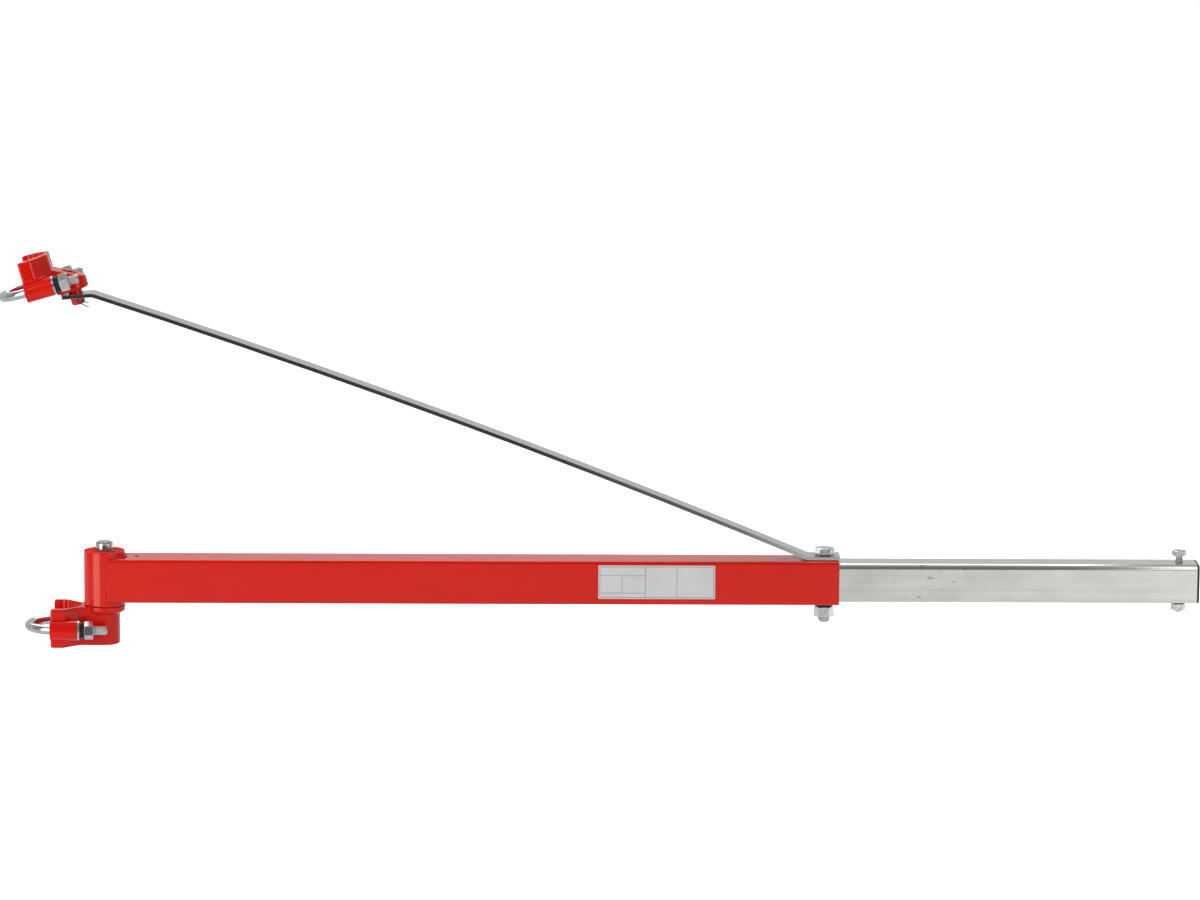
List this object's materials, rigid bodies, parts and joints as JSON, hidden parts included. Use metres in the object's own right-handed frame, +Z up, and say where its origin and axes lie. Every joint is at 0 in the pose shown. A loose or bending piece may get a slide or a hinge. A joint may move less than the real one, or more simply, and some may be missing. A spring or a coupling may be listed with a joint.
{
  "type": "swivel hoist frame",
  "caption": "Red pole-mounted swivel jib for a hoist: square tube with a telescoping zinc extension, flat stay bar and toothed pole clamps with U-bolts.",
  "frame": {"origin": "on the pole's axis at mid-height of the lower clamp", "axes": "+Z up along the pole, +X along the jib away from the pole"},
  "size_m": [1.2247, 0.0824, 0.4028],
  "materials": {
    "red_paint": "gloss",
    "red_cast_iron": "gloss over a cast skin",
    "zinc_tube": "satin zinc",
    "zinc_flat_bar": "bright zinc",
    "bright_zinc": "bright zinc plating",
    "black_spring_steel": "black oxide",
    "black_plastic": "satin"
  },
  "bodies": {
    "lower_clamp": {"lower_clamp_casting": "red_cast_iron", "pivot_pin": "bright_zinc", "pivot_split_pin": "bright_zinc", "lower_u_bolt": "bright_zinc", "lower_front_washer": "bright_zinc", "lower_front_spring_washer": "black_spring_steel", "lower_front_nut": "bright_zinc", "lower_rear_washer": "bright_zinc", "lower_rear_spring_washer": "black_spring_steel", "lower_rear_nut": "bright_zinc"},
    "arm": {"swivel_boss": "red_paint", "outer_tube": "red_paint", "extension_tube": "zinc_tube", "extension_end_cap": "black_plastic", "stay_bar": "zinc_flat_bar", "stay_bolt": "bright_zinc", "stay_spring_washer": "black_spring_steel", "stay_nut": "bright_zinc", "stop_bolt": "bright_zinc", "stop_spring_washer": "black_spring_steel", "stop_nut": "bright_zinc"},
    "upper_clamp": {"upper_clamp_casting": "red_cast_iron", "upper_pivot_pin": "red_paint", "upper_split_pin": "bright_zinc", "upper_u_bolt": "bright_zinc", "upper_front_washer": "bright_zinc", "upper_front_spring_washer": "black_spring_steel", "upper_front_nut": "bright_zinc", "upper_rear_washer": "bright_zinc", "upper_rear_spring_washer": "black_spring_steel", "upper_rear_nut": "bright_zinc"}
  },
  "joints": [
    {"name": "arm_swivel", "type": "hinge", "parent": "lower_clamp", "child": "arm", "pos_m": [0.048, 0, 0], "axis": [0, 0, 1], "range_deg": [-100, 100]},
    {"name": "upper_clamp_swivel", "type": "hinge", "parent": "arm", "child": "upper_clamp", "pos_m": [0.02175, 0, 0.33947], "axis": [0.284, 0, -0.9588], "range_deg": [-100, 100]}
  ]
}
